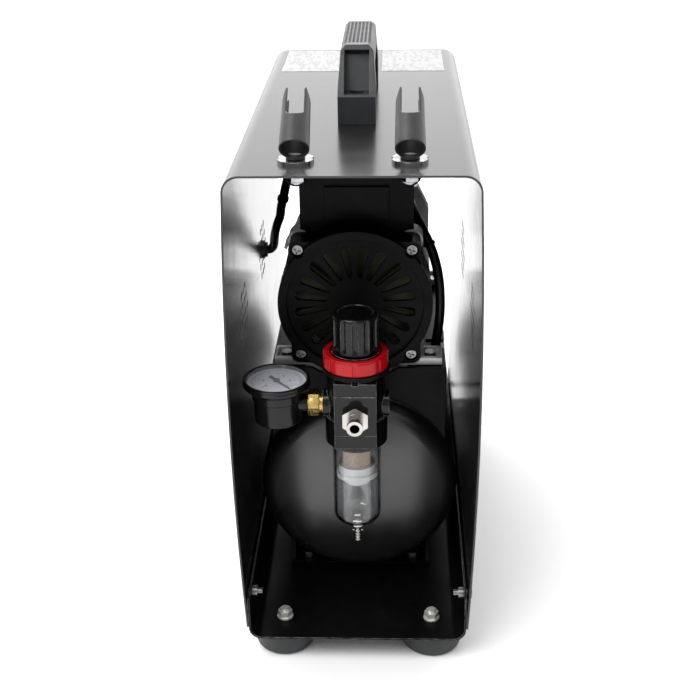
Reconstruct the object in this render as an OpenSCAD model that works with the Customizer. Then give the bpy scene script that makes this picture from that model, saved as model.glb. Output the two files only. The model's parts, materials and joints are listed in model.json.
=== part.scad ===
// Airbrush compressor: a fan-cooled piston pump on a small air tank, inside a
// folded sheet-metal housing with a carrying handle, two airbrush holders and a
// filter regulator with a gauge at the open front.
// +X is to the right, -Y is the front, +Z is up. The origin lies on the floor
// under the centre of the housing.

/* [Housing] */
// Width of the cover across its corners
cover_w = 140; // [139:0.5:142]
// Length of the cover from front to back
cover_d = 330; // [328:1:334]
// Height of the cover's top face
cover_top = 321; // [320:0.5:323]
// Height of the cover's lower edge
cover_low = 25; // [22:1:28]
// Thickness of the cover and tray sheet
sheet = 1.2; // [1:0.1:1.4]
// Outside radius of the cover's two bends
cover_bend = 10; // [9:0.5:11]
// How far each side wall bows outward at mid height
wall_bow = 3.4; // [3:0.1:3.8]
// Diameter of one vent hole
vent_d = 5.5; // [4.5:0.5:6]
// Distance between neighbouring vent holes
vent_pitch = 9.5; // [9:0.5:10]
// Radius of each round cluster of vent holes
vent_cluster_r = 25; // [20:1:28]
// Height of the rubber feet
foot_h = 16; // [15:0.5:17]
// Diameter of the rubber feet
foot_d = 43; // [38:1:44]

/* [Handle] */
// Length of the handle's base
handle_len = 122; // [118:1:126]
// Width of the handle's base
handle_w = 23; // [21:0.5:24]
// Height of the handle above the cover
handle_h = 44; // [42:0.5:46]

/* [Airbrush holders] */
// Distance of each holder from the centre line
holder_x = 31.3; // [31:0.1:33]
// Outside diameter of a holder tube
holder_od = 17.1; // [16.8:0.1:17.2]
// Inside diameter of a holder tube
holder_id = 14.9; // [14.5:0.1:15]
// Length of a holder tube
holder_len = 40; // [38:1:42]
// Angle of a holder tube above the horizontal
holder_tilt = 35; // [33:1:37]
// Width of the slot in a holder tube
holder_slot = 9.8; // [9:0.1:10.5]

/* [Tank] */
// Outside diameter of the tank
tank_d = 128; // [127:0.5:128.5]
// Height of the tank's axis
tank_z = 88.6; // [88.4:0.1:89]
// Wall thickness of the tank
tank_wall = 2; // [1.6:0.1:2.5]

/* [Motor and pump] */
// Diameter of the fan cover
fan_cover_d = 97; // [96:0.5:98]
// Height of the motor shaft
motor_z = 213.4; // [213:0.1:214]
// Sideways place of the motor shaft
motor_x = -1.5; // [-2:0.1:-1]
// Spacing of the fan cover's screws, each way
fan_screw_pitch = 70.5; // [70:0.5:71]
// Number of slots in the fan cover
fan_slots = 20; // [18:1:22]
// Throw of the crank pin
crank_throw = 6; // [5:0.5:6]

/* [Filter regulator and gauge] */
// Diameter of the regulator knob
knob_d = 27.5; // [27:0.1:28]
// Diameter of the lock ring
ring_d = 39.3; // [39:0.1:40]
// Diameter of the clear bowl
bowl_d = 30; // [29.6:0.1:30.4]
// Outside diameter of the outlet nipple
nipple_d = 9.72; // [9.6:0.02:9.8]
// Diameter of the gauge's rim
gauge_d = 41; // [40:0.5:42]

/* [Hidden] */

eps = 0.01;
run_gap = 0.05;
smooth = 96;

// Housing
front_y = -cover_d / 2;
label_x = 36;
label_half_w = 22.4;
label_y = [front_y + 253, front_y + 326];
label_t = 0.15;
foot_hole_r = 2.7;
tray_z = foot_h;
tray_bend = 8;
tray_w = cover_w - 2 * sheet - 0.2;
flange_top = 47;
bow_z = (cover_low + cover_top - cover_bend) / 2;
bow_half_h = (cover_top - cover_bend - cover_low) / 2;
bow_r = (bow_half_h * bow_half_h + wall_bow * wall_bow) / (2 * wall_bow);
mid_half_w = cover_w / 2 + wall_bow;
bend_out = 0.02;
vent_y = [-83, 35];
vent_z = 205;
foot_x = 47.5;
foot_y = cover_d / 2 - 22;
side_screw_y = cover_d / 2 - 18;
side_screw_z = 40;
grommet_r = 5.4;
lead_r = 3.1;
hose_r = 3.2;

// Handle
handle_foot_h = 20;
handle_ledge = 18;
handle_top_len = 88;
handle_screw_y = handle_len / 2 - 9;
handle_leg = 15;

// Airbrush holders
holder_y = front_y + 26;
lock_nut_h = 2.4;
holder_mouth = [0, -8.7, 7];
holder_stem_d = 11;
holder_slot_len = 20.6;
stud_d = 6;

// Tank
tank_y0 = front_y + 75;
tank_y1 = front_y + 290;
dome_h = 22;
dome_knuckle = 14;
tank_r = tank_d / 2;
dome_c = ((tank_r - dome_knuckle) * (tank_r - dome_knuckle) - (dome_h - dome_knuckle)
    * (dome_h - dome_knuckle)) / (2 * (dome_h - dome_knuckle));
dome_crown = dome_h + dome_c;
saddle_y = [-68, 102];
saddle_w = 96;
saddle_bolt_x = 36;
saddle_bolt_y = 9;
inlet = [49, -47];
relief_y = 104;
cock_z = tank_z - 30;
cock_y = tank_y1 + dome_h - 1;

// Motor and pump, along Y
cover_y0 = -87;
cover_y1 = -66;
frame_y1 = -54;
core_y0 = -46;
core_y1 = 4;
shell_y1 = 26;
case_y1 = 66;
cylinder_y = 45;
foot_top = 176.4;
foot_under = 171.7;
plate_t = 2.5;
pad_t = 3;
mount_x = 46;
mount_y = [-76, 58];
bolt_sink = 2.5;
shaft_r = 4;
bearing_r = 11;
bore_r = 19;
case_cavity_r = 25;
pin_y0 = 38;
pin_y1 = 51;
pin_r = 5;
rod_len = 30;
cylinder_z0 = 247;
cylinder_fin_r = 29;
head_z0 = 276;
head_z1 = 305;
head_half = 28;
head_bolt = 23;
intake_z = 288;
outlet_z = 290;
crank_y = 30;
plate_half = 56;
plate_y = [-88, 78];
screw_half = fan_screw_pitch / 2;
screw_seat = 5.8;

// Regulator and gauge
reg_y = front_y + 35;
elbow_y = reg_y + 31.5;
body_z0 = 142.5;
body_z1 = 191.7;
ring_z0 = 193.7;
ring_z1 = 203.2;
knob_z1 = 228;
port_z = 168;
bowl_z0 = 85;
neck_r = 14.2;
bracket_y = -95;
bracket_half = 18;
spring_low = 179;
gauge_x = -48;
gauge_top = 184.6;
dial_z = 181.6;

// Routes of the lead and the hose, ends first at the electrical parts
lead_route = [
    [-39.1, -14, 288], [-41.5, -14, 288], [-45, -13, 283], [-47.5, -9, 273], [-50, -4, 264],
    [-52.5, 2, 254], [-54.5, 7, 246], [-56, 12, 238], [-58.5, 16, 231], [-60.5, 20, 224],
    [-62, 25, 217], [-63, 30, 211], [-64.5, 34, 207], [-66.5, 35, 205.2], [-68, 35, 205],
    [-70, 35, 205], [-73, 35, 205]
];
hose_route = [
    [31.5, 45, 283.9], [31.5, 45, 278], [31.5, 42, 269], [31.5, 35, 261.5], [31.5, 27, 257.5],
    [32, 16, 256.5], [32.5, 4, 256.5], [33, -8, 256], [34.5, -19, 254.5], [37, -28, 251],
    [40.5, -35, 246], [45.5, -40, 237], [49.5, -43, 226], [52, -45, 214], [53, -46, 202],
    [53, -47, 190], [52, -47, 179], [50.5, -47, 168], [49, -47, 157], [49, -47, 146]
];

module y_cyl(x, y, z, r, len) {
    translate([x, y, z]) rotate([-90, 0, 0]) cylinder(r = r, h = len, $fn = smooth);
}

module x_cyl(x, y, z, r, len) {
    translate([x, y, z]) rotate([0, 90, 0]) cylinder(r = r, h = len, $fn = smooth);
}

module z_cyl(x, y, z, r, len) {
    translate([x, y, z]) cylinder(r = r, h = len, $fn = smooth);
}

// A box given by its lowest and highest corners
module span(a, b) {
    translate(a) cube(b - a);
}

// A hexagonal prism along Z, given by its width across flats
module hex(flats, h) {
    cylinder(r = flats / sqrt(3), h = h, $fn = 6);
}

// A flat shape drawn in X and Z, pulled along Y between two planes
module along_y(y0, y1) {
    translate([0, y1, 0]) rotate([90, 0, 0]) linear_extrude(height = y1 - y0) children();
}

// A rectangle with round corners, centred on the origin
module round_rect(w, h, r) {
    square([w - 2 * r, h], center = true);
    square([w, h - 2 * r], center = true);
    for (sx = [-1, 1], sy = [-1, 1])
        translate([sx * (w / 2 - r), sy * (h / 2 - r)]) circle(r = r, $fn = 48);
}

// A tube or rod along a list of points
module sweep_tube(path, r, sides) {
    n = len(path);
    dirs = [for (i = [0 : n - 1]) unit(path[min(i + 1, n - 1)] - path[max(i - 1, 0)])];
    side = [for (d = dirs) unit(cross(d, abs(d[2]) > 0.9 ? [0, 1, 0] : [0, 0, 1]))];
    points = [for (i = [0 : n - 1], k = [0 : sides - 1])
        path[i] + r * (cos(360 * k / sides) * side[i] + sin(360 * k / sides) * cross(dirs[i], side[i]))];
    walls = [for (i = [0 : n - 2], k = [0 : sides - 1], half = [0, 1])
        let (a = i * sides + k, b = i * sides + (k + 1) % sides)
            half == 0 ? [a, a + sides, b + sides] : [a, b + sides, b]];
    ends = [[for (k = [0 : sides - 1]) k], [for (k = [sides - 1 : -1 : 0]) (n - 1) * sides + k]];
    polyhedron(points = points, faces = concat(walls, ends), convexity = 6);
}

function unit(v) = v / norm(v);

// ---------------------------------------------------------------- housing

// The cover's outline seen from the front, moved inward by the given amount
module cover_outline(inset) {
    difference() {
        intersection() {
            translate([bow_r - mid_half_w, bow_z]) circle(r = bow_r - inset, $fn = 1440);
            translate([mid_half_w - bow_r, bow_z]) circle(r = bow_r - inset, $fn = 1440);
            translate([-cover_w, cover_low - inset])
                square([2 * cover_w, cover_top - cover_low]);
        }
        for (s = [0, 1]) mirror([s, 0])
            translate([cover_w / 2 + bend_out - cover_bend, cover_top - cover_bend])
                difference() {
                    square(2 * cover_bend);
                    circle(r = cover_bend - inset, $fn = smooth);
                }
    }
}

module vent_holes(y) {
    rows = ceil(vent_cluster_r / vent_pitch) + 1;
    for (i = [-rows : rows], j = [-rows : rows]) {
        v = vent_pitch * (i + (j % 2) / 2);
        w = vent_pitch * j * sqrt(3) / 2;
        if (norm([v, w]) <= vent_cluster_r) x_cyl(-90, y + v, vent_z + w, vent_d / 2, 180);
    }
}

module cover_shell() {
    color("dimgray") difference() {
        along_y(front_y, -front_y) difference() {
            cover_outline(0);
            cover_outline(sheet);
        }
        for (y = vent_y) vent_holes(y);
        x_cyl(-90, vent_y[1], vent_z, grommet_r, 40);
        for (s = [-1, 1]) {
            x_cyl(-90, s * side_screw_y, side_screw_z, 2.2, 180);
            z_cyl(0, s * handle_screw_y, cover_top - 5, 2.2, 10);
            z_cyl(s * holder_x, holder_y, cover_top - 5, stud_d / 2 + 0.2, 10);
        }
    }
}

// The tray's outline seen from the front
module tray_outline(inset) {
    w = tray_w - 2 * inset;
    r = tray_bend - inset;
    low = tray_z + inset;
    translate([-w / 2, low + r]) square([w, flange_top + inset - low - r]);
    translate([r - w / 2, low]) square([w - 2 * r, flange_top - low]);
    for (s = [-1, 1]) translate([s * (w / 2 - r), low + r]) circle(r = r, $fn = 64);
}

module base_tray() {
    color("black") difference() {
        along_y(front_y, -front_y) difference() {
            tray_outline(0);
            tray_outline(sheet);
        }
        for (s = [-1, 1]) {
            x_cyl(-90, s * side_screw_y, side_screw_z, 2.1, 180);
            for (t = [-1, 1]) z_cyl(s * foot_x, t * foot_y, tray_z - 5, foot_hole_r, 10);
            for (y = saddle_y) z_cyl(s * saddle_bolt_x, y - saddle_bolt_y, tray_z - 5, foot_hole_r, 10);
        }
    }
}

module rubber_foot() {
    difference() {
        rotate_extrude($fn = smooth) difference() {
            union() {
                square([foot_d / 2 - 3, foot_h]);
                translate([0, 3]) square([foot_d / 2, foot_h - 3]);
                translate([foot_d / 2 - 3, 3]) circle(r = 3, $fn = 48);
            }
            translate([-10, -10]) square([10, 40]);
        }
        translate([0, 0, -1]) cylinder(r = foot_hole_r, h = foot_h + 2, $fn = smooth);
        translate([0, 0, -1]) cylinder(r = 7, h = 8, $fn = smooth);
    }
}

module at_feet() {
    for (sx = [-1, 1], sy = [-1, 1]) translate([sx * foot_x, sy * foot_y, 0]) children();
}

module rubber_feet() {
    color("black") at_feet() rubber_foot();
}

module foot_bolts() {
    color("silver") at_feet() {
        translate([0, 0, 3.4]) cylinder(r = 4.6, h = 3.6, $fn = smooth);
        translate([0, 0, 6.9]) cylinder(r = 2.5, h = 17.1, $fn = smooth);
    }
}

module foot_nuts() {
    color("silver") at_feet() translate([0, 0, tray_z + sheet]) difference() {
        union() {
            cylinder(r = 5.2, h = 1, $fn = smooth);
            hex(8, 5);
        }
        translate([0, 0, -1]) cylinder(r = 2.52, h = 8, $fn = smooth);
    }
}

// One machine screw through the cover and the tray flange, on the right side
module cover_screw(y) {
    wall_x = tray_w / 2;
    x_cyl(61, y, side_screw_z, 2, wall_x - 61 + 3);
    x_cyl(wall_x - sheet - 3.3, y, side_screw_z, 3.6, 3.2);
    x_cyl(71, y, side_screw_z, 3.6, 1.8);
}

module cover_screws() {
    color("silver") for (s = [0, 1], t = [-1, 1])
        mirror([s, 0, 0]) cover_screw(t * side_screw_y);
}

// Side view of the handle: a low bridge with sloping legs
module handle_side() {
    half = handle_len / 2;
    top = handle_top_len / 2;
    difference() {
        polygon([[-half, 0], [half, 0], [half, handle_foot_h - 3], [half - 3, handle_foot_h],
            [top + 2, handle_h - 5], [top - 4, handle_h], [4 - top, handle_h],
            [-top - 2, handle_h - 5], [3 - half, handle_foot_h], [-half, handle_foot_h - 3]]);
        polygon([[handle_leg + 5 - half, -1], [half - handle_leg - 5, -1],
            [half - handle_leg - 5, 9], [top - 10, handle_h - 16], [top - 14, handle_h - 13],
            [14 - top, handle_h - 13], [10 - top, handle_h - 16], [handle_leg + 5 - half, 9]]);
    }
}

// Front view of the handle: the legs narrow a little towards the top
module handle_front() {
    w = handle_w / 2;
    polygon([[-w, 0], [w, 0], [w, handle_foot_h], [w - 1.5, handle_h - 3], [w - 4.5, handle_h],
        [4.5 - w, handle_h], [1.5 - w, handle_h - 3], [-w, handle_foot_h]]);
}

// Side view of the channel down the outside of one leg, above the screw's ledge
module handle_channel() {
    half = handle_len / 2;
    top = handle_top_len / 2;
    polygon([[half + 9, handle_ledge], [half - 14, handle_ledge], [top - 5.5, handle_h - 6],
        [top - 1, handle_h - 2.5], [half + 9, handle_h - 2.5]]);
}

module carry_handle() {
    channel_w = 15;
    color("black") translate([0, 0, cover_top]) difference() {
        intersection() {
            translate([-handle_w, 0, 0]) rotate([90, 0, 90])
                linear_extrude(height = 2 * handle_w) handle_side();
            along_y(-handle_len, handle_len) handle_front();
        }
        for (i = [-3 : 3])
            span([i * 2.4 - 0.7, 10 - handle_top_len / 2, handle_h - 1],
                [i * 2.4 + 0.7, handle_top_len / 2 - 10, handle_h + 1]);
        for (s = [0, 1]) mirror([0, s, 0]) {
            translate([-channel_w / 2, 0, 0]) rotate([90, 0, 90])
                linear_extrude(height = channel_w) handle_channel();
            z_cyl(0, handle_screw_y, 4, 4.6, handle_ledge);
            z_cyl(0, handle_screw_y, -1, 2.3, 10);
        }
    }
}

module handle_screws() {
    color("silver") for (s = [-1, 1]) translate([0, s * handle_screw_y, 0]) {
        difference() {
            translate([0, 0, cover_top + 4]) cylinder(r = 4, h = 2.6, $fn = smooth);
            for (a = [0, 90]) rotate(a) translate([0, 0, cover_top + 7])
                cube([5, 1, 2.6], center = true);
        }
        translate([0, 0, cover_top - 8]) cylinder(r = 2, h = 12 + eps, $fn = smooth);
        translate([0, 0, cover_top - sheet - 3.2]) difference() {
            hex(7, 3.1);
            translate([0, 0, -1]) cylinder(r = 2.02, h = 6, $fn = smooth);
        }
    }
}

module labels() {
    color("whitesmoke") for (s = [-1, 1])
        span([s * label_x - label_half_w, label_y[0], cover_top],
            [s * label_x + label_half_w, label_y[1], cover_top + label_t]);
}

module cable_grommet() {
    wall_x = mid_half_w - 0.15;
    color("black") mirror([1, 0, 0]) difference() {
        union() {
            x_cyl(wall_x - 5, vent_y[1], vent_z, grommet_r - 0.05, 6.4);
            x_cyl(wall_x + 0.05, vent_y[1], vent_z, grommet_r + 1.2, 1.2);
            x_cyl(wall_x - sheet - 2, vent_y[1], vent_z, grommet_r + 1.2, 1.8);
        }
        x_cyl(wall_x - 10, vent_y[1], vent_z, lead_r + 0.1, 20);
    }
}

// ---------------------------------------------------------------- airbrush holders

// One split holder tube on its stem; the tube leans back over the cover
module holder() {
    base = cover_top + lock_nut_h;
    axis_tilt = holder_tilt - 90;
    difference() {
        union() {
            translate(holder_mouth + [0, 0, base]) rotate([axis_tilt, 0, 0])
                cylinder(d = holder_od, h = holder_len, $fn = smooth);
            translate([0, 0, base]) cylinder(d = holder_stem_d, h = 9, $fn = smooth);
            translate([0, 0, cover_top - 9]) cylinder(d = stud_d, h = 13, $fn = smooth);
        }
        translate(holder_mouth + [0, 0, base]) rotate([axis_tilt, 0, 0]) {
            translate([0, 0, -eps]) cylinder(d = holder_id, h = holder_len + 1, $fn = smooth);
            translate([0, 0, -20]) cylinder(d = holder_od + 0.6, h = 20, $fn = smooth);
            translate([-holder_slot / 2, -20, holder_len - holder_slot_len])
                cube([holder_slot, 40, holder_slot_len + 10]);
            // Each prong's outer corner is cut away at a slant
            for (s = [0, 1]) mirror([s, 0, 0]) rotate([90, 0, 0])
                linear_extrude(height = 40, center = true) polygon([
                    [holder_od / 2, holder_len - 7], [holder_slot / 2 + 0.8, holder_len - 1.5],
                    [holder_slot / 2, holder_len], [holder_slot / 2, holder_len + 1],
                    [holder_od, holder_len + 1], [holder_od, holder_len - 7]]);
        }
    }
}

module holder_left() {
    color("black") translate([-holder_x, holder_y, 0]) holder();
}

module holder_right() {
    color("black") translate([holder_x, holder_y, 0]) holder();
}

// A round nut with six shallow notches
module holder_lock_nut() {
    difference() {
        cylinder(r = 10.2, h = lock_nut_h - 0.1, $fn = smooth);
        for (a = [0 : 60 : 300]) rotate(a) translate([9.3, -1.6, -1]) cube([4, 3.2, 6]);
        translate([0, 0, -1]) cylinder(r = stud_d / 2 + run_gap, h = 6, $fn = smooth);
    }
}

module holder_lock_nuts() {
    color("silver") for (s = [-1, 1])
        translate([s * holder_x, holder_y, cover_top]) holder_lock_nut();
}

module holder_under_nuts() {
    color("silver") for (s = [-1, 1]) translate([s * holder_x, holder_y, cover_top - sheet - 6.2])
        difference() {
            union() {
                translate([0, 0, 1.2]) hex(10, 3.8);
                translate([0, 0, 5]) cylinder(r = 6.4, h = 1.2, $fn = smooth);
            }
            translate([0, 0, -1]) cylinder(r = stud_d / 2 + run_gap, h = 10, $fn = smooth);
        }
}

// ---------------------------------------------------------------- tank

// Half section of a dished end, its open rim on the X axis
module dome_section(inset) {
    lean = atan((tank_r - dome_knuckle) / dome_c);
    reach = 40;
    intersection() {
        translate([0, -dome_c]) circle(r = dome_crown - inset, $fn = 720);
        polygon([[0, 0], [tank_r - dome_knuckle, 0],
            [(reach + dome_c) * tan(lean), reach], [0, reach]]);
    }
    intersection() {
        translate([tank_r - dome_knuckle, 0]) circle(r = dome_knuckle - inset, $fn = smooth);
        square([tank_r, dome_knuckle]);
    }
}

module dome_solid(inset) {
    rotate_extrude($fn = 144) dome_section(inset);
}

module dome() {
    difference() {
        dome_solid(0);
        translate([0, 0, -eps]) dome_solid(tank_wall);
    }
}

// The whole outside of the tank, swollen by a gap
module tank_envelope(gap) {
    y_cyl(0, tank_y0 - eps, tank_z, tank_r + gap, tank_y1 - tank_y0 + 2 * eps);
    translate([0, tank_y0, tank_z]) rotate([90, 0, 0]) dome_solid(-gap);
}

module tank_shell() {
    color("black") difference() {
        y_cyl(0, tank_y0, tank_z, tank_r, tank_y1 - tank_y0);
        y_cyl(0, tank_y0 - 1, tank_z, tank_r - tank_wall, tank_y1 - tank_y0 + 2);
    }
}

module tank_front_end() {
    color("black") translate([0, tank_y0, tank_z]) rotate([90, 0, 0]) dome();
}

module tank_rear_end() {
    color("black") difference() {
        union() {
            translate([0, tank_y1, tank_z]) rotate([-90, 0, 0]) dome();
            y_cyl(0, cock_y - 12, cock_z, 6, 12);
        }
        y_cyl(0, cock_y - 10, cock_z, 3, 20);
    }
}

module tank_saddles() {
    floor_z = tray_z + sheet;
    color("black") for (y = saddle_y) difference() {
        union() {
            span([-saddle_w / 2, y, floor_z], [saddle_w / 2, y + 3, 52]);
            span([-saddle_w / 2, y - 18, floor_z], [saddle_w / 2, y + eps, floor_z + 3]);
            for (s = [-1, 1]) translate([s * (saddle_w / 2 - 1.5) - 1.5, y, floor_z + 2])
                rotate([90, 0, 90]) linear_extrude(height = 3) polygon([[0, 0], [-17, 0], [0, 26]]);
        }
        y_cyl(0, y - 30, tank_z, tank_r + 0.05, 60);
        for (s = [-1, 1]) z_cyl(s * saddle_bolt_x, y - saddle_bolt_y, floor_z - 1, foot_hole_r, 10);
    }
}

module saddle_bolts() {
    color("silver") for (y = saddle_y, s = [-1, 1])
        translate([s * saddle_bolt_x, y - saddle_bolt_y, tray_z]) {
        translate([0, 0, sheet + 3]) hex(8, 3.5);
        translate([0, 0, -5]) cylinder(r = 2.5, h = sheet + 8 + eps, $fn = smooth);
        translate([0, 0, -4.1]) difference() {
            hex(8, 4);
            translate([0, 0, -1]) cylinder(r = 2.52, h = 6, $fn = smooth);
        }
    }
}

// ---------------------------------------------------------------- motor

module motor_bracket() {
    top = foot_under - pad_t;
    front = plate_y[0] - plate_t;
    color("black") difference() {
        union() {
            span([-plate_half, plate_y[0], top - plate_t], [plate_half, plate_y[1], top]);
            span([-plate_half, front, tank_z], [plate_half, plate_y[0], foot_under]);
            span([-plate_half, plate_y[1], tank_z + 20], [plate_half, plate_y[1] + plate_t, top]);
        }
        // Opening under the motor and notch for the hose
        span([motor_x - 33, plate_y[0] + eps, top - 10], [motor_x + 33, plate_y[1] - 6, top + 1]);
        span([44, inlet[1] - 7, top - 10], [plate_half + 1, inlet[1] + 7, top + 1]);
        y_cyl(motor_x, -95, motor_z, fan_cover_d / 2 + 1.5, 20);
        tank_envelope(0.05);
        for (x = [-mount_x, mount_x], y = mount_y) z_cyl(x, y, top - 10, 3.2, 20);
    }
}

module at_motor_mounts() {
    for (x = [-mount_x, mount_x], y = mount_y) translate([x, y, 0]) children();
}

module rubber_mounts() {
    color("black") at_motor_mounts() translate([0, 0, foot_under - pad_t]) difference() {
        cylinder(r = 8, h = pad_t, $fn = smooth);
        translate([0, 0, -1]) cylinder(r = 3.2, h = 10, $fn = smooth);
    }
}

module motor_bolts() {
    color("silver") at_motor_mounts() {
        translate([0, 0, foot_top - bolt_sink]) rotate(30) hex(7, 3);
        translate([0, 0, 158]) cylinder(r = 3, h = foot_top - bolt_sink - 158 + eps, $fn = smooth);
        translate([0, 0, 161.6]) difference() {
            hex(10, 4.5);
            translate([0, 0, -1]) cylinder(r = 3.02, h = 8, $fn = smooth);
        }
    }
}

// A motor foot with a pocket for its bolt head, on both sides of the motor
module motor_foot(y) {
    foot_in = 26;
    for (s = [-1, 1]) difference() {
        span([s > 0 ? foot_in : -53.5, y - 9.5, foot_under], [s > 0 ? 53.5 : -foot_in, y + 9.5, foot_top]);
        span([s * mount_x - 6, y - 6.5, foot_top - bolt_sink], [s * mount_x + 6, y + 6.5, foot_top + 1]);
        z_cyl(s * mount_x, y, foot_under - 1, 3.2, 10);
    }
}

module front_end_frame() {
    color("lightgray") difference() {
        union() {
            y_cyl(motor_x, cover_y1, motor_z, 47.5, frame_y1 - cover_y1);
            for (sx = [-1, 1], sz = [-1, 1])
                y_cyl(motor_x + sx * screw_half, cover_y1, motor_z + sz * screw_half, 7.2,
                    frame_y1 - cover_y1);
            motor_foot(mount_y[0]);
            for (s = [-1, 1]) span([s > 0 ? 30 : -44, -68, foot_under], [s > 0 ? 42 : -30, frame_y1, 183]);
        }
        along_y(-90, cover_y1) translate([motor_x, motor_z]) fan_cover_outline(0.3);
        y_cyl(motor_x, cover_y1 - 1, motor_z, bearing_r, 8);
        y_cyl(motor_x, cover_y1 - 1, motor_z, shaft_r + 2, 30);
        for (a = [30 : 60 : 330]) translate([motor_x, 0, motor_z]) rotate([0, a, 0])
            y_cyl(27, cover_y1 - 1, 0, 9, 30);
        for (sx = [-1, 1], sz = [-1, 1])
            y_cyl(motor_x + sx * screw_half, cover_y1 - 1, motor_z + sz * screw_half, 2, 11);
    }
}

module motor_shell() {
    color("black") difference() {
        y_cyl(motor_x, frame_y1, motor_z, 48, shell_y1 - frame_y1 - 12);
        y_cyl(motor_x, frame_y1 - 1, motor_z, 46.2, 100);
    }
}

module stator() {
    color("gray") difference() {
        y_cyl(motor_x, core_y0, motor_z, 46.15, core_y1 - core_y0);
        y_cyl(motor_x, core_y0 - 1, motor_z, 24.5, 80);
    }
}

module windings() {
    color("peru") for (y = [core_y0 - 7, core_y1]) difference() {
        y_cyl(motor_x, y, motor_z, 41, 7);
        y_cyl(motor_x, y - 1, motor_z, 27, 9);
    }
}

module bearings() {
    color("silver") for (y = [cover_y1, shell_y1 - 10]) difference() {
        y_cyl(motor_x, y, motor_z, bearing_r - 0.02, 7);
        y_cyl(motor_x, y - 1, motor_z, shaft_r + run_gap, 9);
    }
}

// One slot of the fan cover: a long drop, wide at its outer end
module fan_slot() {
    inner = 19;
    outer = 35.2;
    r_in = 1.5;
    r_out = 3.1;
    lean = asin((r_out - r_in) / (outer - inner));
    translate([inner, 0]) circle(r = r_in, $fn = 32);
    translate([outer, 0]) circle(r = r_out, $fn = 48);
    polygon([
        [inner - r_in * sin(lean), r_in * cos(lean)], [outer - r_out * sin(lean), r_out * cos(lean)],
        [outer - r_out * sin(lean), -r_out * cos(lean)], [inner - r_in * sin(lean), -r_in * cos(lean)]
    ]);
}

module fan_cover_outline(grow) {
    lug_r = 5.8 + grow;
    side = fan_screw_pitch + 2 * lug_r;
    circle(d = fan_cover_d + 2 * grow, $fn = 180);
    round_rect(side, side, lug_r);
}

module fan_cover() {
    grille_r = 43;
    color("black") translate([motor_x, 0, motor_z]) difference() {
        union() {
            along_y(cover_y0, cover_y1) circle(d = fan_cover_d, $fn = 180);
            along_y(cover_y0 + 3, cover_y1) fan_cover_outline(0);
        }
        y_cyl(0, cover_y0 - 1, 0, grille_r, 3.5);
        y_cyl(0, cover_y0 + 5, 0, 44.5, 40);
        along_y(cover_y0 - 1, cover_y0 + 10)
            for (i = [0 : fan_slots - 1]) rotate((i + 0.5) * 360 / fan_slots) fan_slot();
        for (sx = [-1, 1], sz = [-1, 1]) {
            y_cyl(sx * screw_half, cover_y0 - 1, sz * screw_half, 2.1, 40);
            y_cyl(sx * screw_half, cover_y0 - 1, sz * screw_half, 4.2, screw_seat + 1);
        }
    }
}

module fan_cover_screws() {
    color("silver") for (sx = [-1, 1], sz = [-1, 1])
        translate([motor_x + sx * screw_half, 0, motor_z + sz * screw_half]) {
            difference() {
                y_cyl(0, cover_y0 + screw_seat - 2, 0, 3.2, 2);
                for (a = [20, 110]) rotate([0, a, 0])
                    translate([0, cover_y0 + screw_seat - 2, 0]) cube([4.4, 2.4, 1.1], center = true);
            }
            y_cyl(0, cover_y0 + screw_seat - eps, 0, 1.98, 22);
        }
}

module motor_shaft() {
    color("silver") y_cyl(motor_x, -78, motor_z, shaft_r, crank_y + 78);
}

module rotor_core() {
    color("gray") difference() {
        y_cyl(motor_x, core_y0, motor_z, 24, core_y1 - core_y0);
        y_cyl(motor_x, core_y0 - 1, motor_z, shaft_r, 80);
    }
}

module cooling_fan() {
    blades = 7;
    color("olive") translate([motor_x, 0, motor_z]) difference() {
        union() {
            y_cyl(0, -78.5, 0, 12, 9);
            y_cyl(0, -71.5, 0, 38, 1.5);
            for (i = [0 : blades - 1]) rotate([0, i * 360 / blades, 0])
                span([-1, -78.5, 10], [1, -71, 38]);
        }
        y_cyl(0, -90, 0, shaft_r, 40);
    }
}

// ---------------------------------------------------------------- pump

module crankcase() {
    fin_r = 52;
    color("lightgray") difference() {
        union() {
            y_cyl(motor_x, shell_y1 - 12, motor_z, 47.5, 12);
            y_cyl(motor_x, shell_y1 - eps, motor_z, case_cavity_r + 5, case_y1 - shell_y1);
            // Cooling fins, slanted on the left, and a web on the right
            for (i = [0 : 2]) translate([motor_x - 40 - 4.2 * i, case_y1 - 22, motor_z + 11 - 5.5 * i])
                rotate([0, -60, 0]) span([-13, 0, -1.1], [13, 18, 1.1]);
            translate([motor_x, case_y1 - 20, motor_z]) rotate([0, -30, 0])
                span([-fin_r, 0, -1.5], [-20, 16, 1.5]);
            along_y(case_y1 - 16, case_y1 - 4) translate([motor_x, motor_z])
                polygon([[20, -6], [fin_r - 3, -4], [fin_r - 3, 17], [41, 33.5], [20, 33.5]]);
            span([motor_x - 24, cylinder_y - 20, motor_z], [motor_x + 24, cylinder_y + 20, cylinder_z0]);
            motor_foot(mount_y[1]);
            for (s = [-1, 1]) span([s > 0 ? 22 : -30, 52, foot_under], [s > 0 ? 30 : -22, 64, 200]);
        }
        y_cyl(motor_x, shell_y1 - 10, motor_z, bearing_r, 7);
        y_cyl(motor_x, 0, motor_z, shaft_r + 1.5, 40);
        y_cyl(motor_x, shell_y1 + 3, motor_z, case_cavity_r, case_y1 - shell_y1 - 6);
        z_cyl(motor_x, cylinder_y, motor_z, bore_r, 60);
        z_cyl(motor_x, cylinder_y, cylinder_z0, cylinder_fin_r + 1, 60);
        for (s = [-1, 1]) z_cyl(s * mount_x, mount_y[1], foot_top - bolt_sink, 6, 12);
    }
}

module crank_disc() {
    color("silver") {
        y_cyl(motor_x, crank_y, motor_z, 15, pin_y0 - crank_y);
        y_cyl(motor_x, pin_y0 - eps, motor_z - crank_throw, pin_r, pin_y1 - pin_y0);
    }
}

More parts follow.
